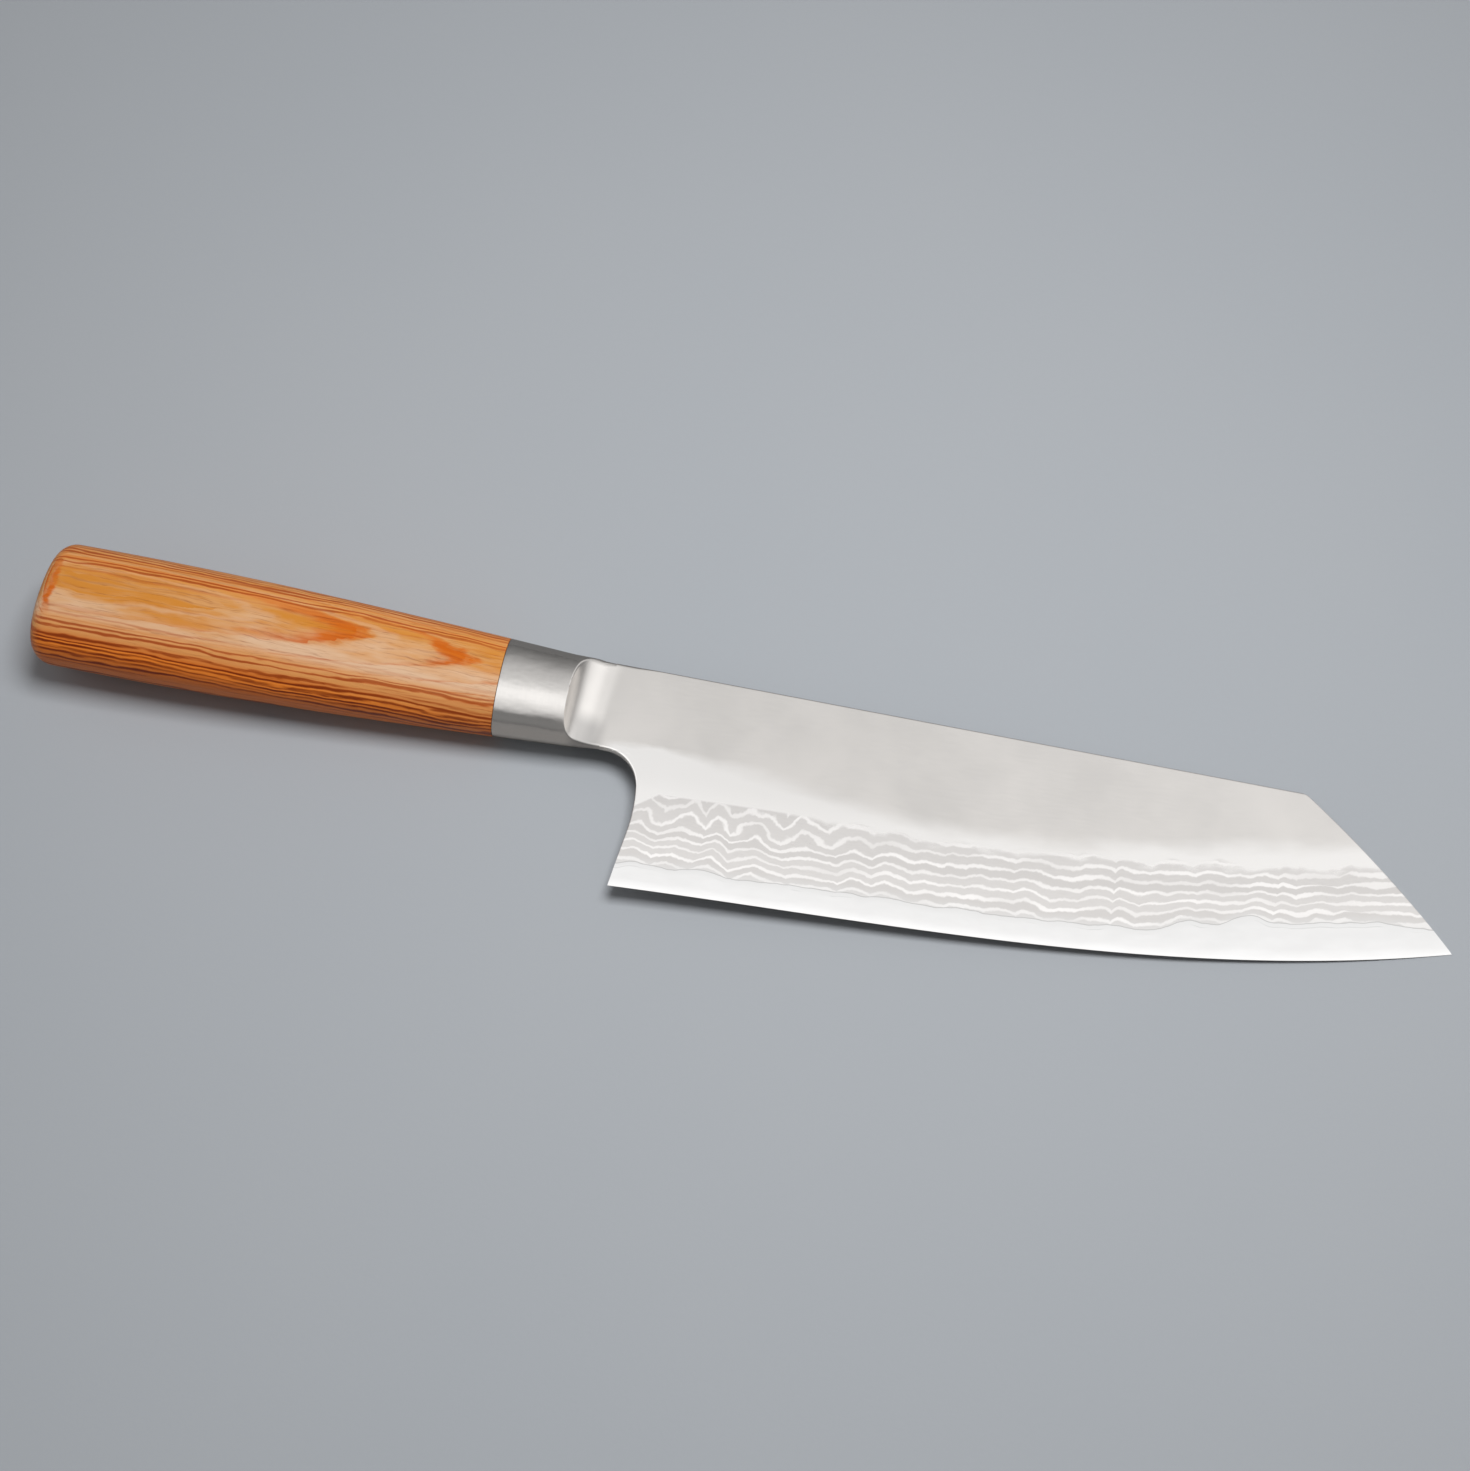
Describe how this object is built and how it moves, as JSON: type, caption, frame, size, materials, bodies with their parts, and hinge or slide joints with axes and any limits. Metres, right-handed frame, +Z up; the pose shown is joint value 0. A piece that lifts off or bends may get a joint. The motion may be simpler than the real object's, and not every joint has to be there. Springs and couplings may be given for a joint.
{
  "type": "bunka knife",
  "caption": "Kitchen knife with an angled point, a layered steel blade, a hollow-ground steel bolster and an oval handle of laminated wood, lying on its side.",
  "frame": {"origin": "on the table under the middle of the lying knife's bounding box", "axes": "+X along the knife from the butt towards the tip, +Y towards the spine, +Z up from the table, through the blade's thickness"},
  "size_m": [0.3122, 0.0524, 0.0232],
  "materials": {
    "core_steel": "hardened high-carbon stainless steel, finely ground, bright",
    "damascus_steel": "layered stainless cladding, satin ground, with wavy layers showing along the bevel",
    "bolster_steel": "stainless steel, brushed and buffed",
    "tang_steel": "mild stainless bar, unpolished, hidden in the handle",
    "resin": "cured epoxy",
    "laminated_wood": "compressed laminated veneers in orange and brown, satin sealed"
  },
  "bodies": {
    "root": {"blade_core": "core_steel", "damascus_cladding_right": "damascus_steel", "damascus_cladding_left": "damascus_steel", "bolster": "bolster_steel", "tang": "tang_steel", "tang_resin": "resin", "handle": "laminated_wood"}
  },
  "joints": []
}
